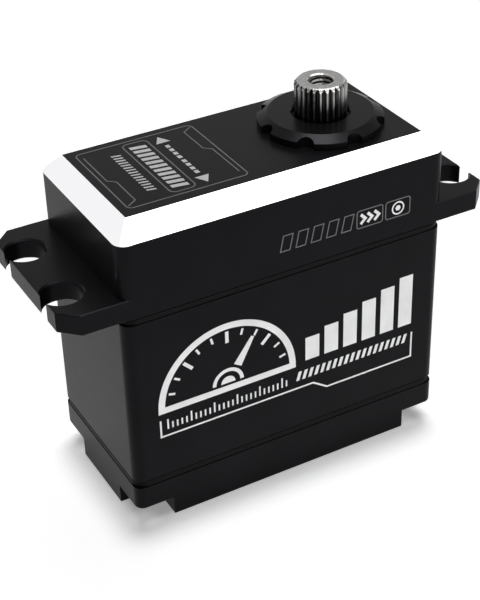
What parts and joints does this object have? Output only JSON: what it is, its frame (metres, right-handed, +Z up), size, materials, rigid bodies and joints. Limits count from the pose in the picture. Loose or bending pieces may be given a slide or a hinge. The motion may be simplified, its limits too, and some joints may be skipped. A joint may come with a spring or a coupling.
{
  "type": "hobby servo motor",
  "caption": "Rotary hobby servo in a black metal case with mounting lugs, a bright bevelled top edge and a splined steel output shaft in a notched ring.",
  "frame": {"origin": "centre of the case's footprint, on the plane the bottom cover rests on", "axes": "+X along the case towards the output shaft's end, +Y across the case, +Z up along the output shaft"},
  "size_m": [0.0538, 0.0202, 0.0444],
  "materials": {
    "black_anodised": "satin, bead-blasted, black anodised",
    "ring_black": "turned, black anodised",
    "gasket_rubber": "matte",
    "seal_rubber": "smooth",
    "black_oxide_steel": "black oxide",
    "steel": "machined",
    "bearing_steel": "ground and polished",
    "gear_aluminium": "hard anodised",
    "cage_brass": "pressed",
    "bushing_bronze": "sintered",
    "can_steel": "nickel plated",
    "magnet": "sintered ferrite",
    "lamination": "stacked plates",
    "copper": "enamelled wire",
    "carbon": "pressed carbon",
    "nylon_black": "moulded",
    "nylon_white": "moulded",
    "track_carbon": "printed resistive film",
    "tinned": "tinned",
    "board_green": "solder mask",
    "chip_black": "moulded epoxy",
    "passive_tan": "fired ceramic",
    "capacitor_can": "sleeved can",
    "wire_red": "insulated",
    "white_ink": "printed marks"
  },
  "bodies": {
    "case": {"upper_case": "black_anodised", "middle_case": "black_anodised", "bottom_cover": "black_anodised", "upper_gasket": "gasket_rubber", "lower_gasket": "gasket_rubber", "case_screws": "black_oxide_steel", "shaft_retainer_ring": "ring_black", "shaft_oil_seal": "seal_rubber", "cable_grommet": "gasket_rubber", "upper_bearing_outer_race": "bearing_steel", "lower_bearing_outer_race": "bearing_steel", "gear_pin": "steel", "gear_pin_washers": "steel", "motor_can": "can_steel", "motor_screws": "black_oxide_steel", "motor_front_bushing": "bushing_bronze", "motor_rear_bushing": "bushing_bronze", "motor_magnets": "magnet", "motor_end_cap": "nylon_white", "motor_terminals": "tinned", "motor_brushes": "carbon", "sensor_housing": "nylon_black", "sensor_terminals": "tinned", "sensor_track": "track_carbon", "sensor_wires": "wire_red", "circuit_board": "board_green", "control_chip": "chip_black", "power_transistors": "chip_black", "board_passives": "passive_tan", "filter_capacitor": "capacitor_can", "lead_pads": "tinned"},
    "output": {"output_shaft": "steel", "output_gear": "steel", "output_stop_pin": "steel", "output_spacer": "steel", "upper_bearing_inner_race": "bearing_steel", "lower_bearing_inner_race": "bearing_steel", "sensor_wiper": "nylon_white", "sensor_contact": "copper"},
    "upper_ball_set": {"upper_bearing_balls": "bearing_steel", "upper_bearing_cage": "cage_brass"},
    "lower_ball_set": {"lower_bearing_balls": "bearing_steel", "lower_bearing_cage": "cage_brass"},
    "third_gear": {"third_gear_wheel": "gear_aluminium", "third_gear_pinion": "steel"},
    "second_gear": {"second_gear_wheel": "gear_aluminium", "second_gear_pinion": "steel"},
    "first_gear": {"first_gear_wheel": "gear_aluminium", "first_gear_pinion": "steel"},
    "rotor": {"motor_shaft": "steel", "motor_pinion": "cage_brass", "armature_core": "lamination", "armature_windings": "copper", "commutator": "copper"}
  },
  "joints": [
    {"name": "output_spin", "type": "hinge", "parent": "case", "child": "output", "pos_m": [0.01, 0, 0.03], "axis": [0, 0, 1], "range_deg": [-95, 95]},
    {"name": "upper_balls_roll", "type": "hinge", "parent": "case", "child": "upper_ball_set", "pos_m": [0.01, 0, 0.03], "axis": [0, 0, 1], "continuous": true},
    {"name": "lower_balls_roll", "type": "hinge", "parent": "case", "child": "lower_ball_set", "pos_m": [0.01, 0, 0.03], "axis": [0, 0, 1], "continuous": true},
    {"name": "third_gear_spin", "type": "hinge", "parent": "case", "child": "third_gear", "pos_m": [0.00055, 0, 0.03], "axis": [0, 0, 1], "continuous": true},
    {"name": "second_gear_spin", "type": "hinge", "parent": "case", "child": "second_gear", "pos_m": [0.01, 0, 0.03], "axis": [0, 0, 1], "continuous": true},
    {"name": "first_gear_spin", "type": "hinge", "parent": "case", "child": "first_gear", "pos_m": [0.00055, 0, 0.03], "axis": [0, 0, 1], "continuous": true},
    {"name": "motor_spin", "type": "hinge", "parent": "case", "child": "rotor", "pos_m": [-0.00815, 0, 0.03], "axis": [0, 0, 1], "continuous": true}
  ],
  "couplings": [
    {"joint": "upper_balls_roll", "follows": "output_spin", "ratio": 0.425},
    {"joint": "lower_balls_roll", "follows": "output_spin", "ratio": 0.4},
    {"joint": "third_gear_spin", "follows": "output_spin", "ratio": -3.2},
    {"joint": "second_gear_spin", "follows": "output_spin", "ratio": 9.1429},
    {"joint": "first_gear_spin", "follows": "output_spin", "ratio": -40.229},
    {"joint": "motor_spin", "follows": "output_spin", "ratio": 193.1}
  ]
}
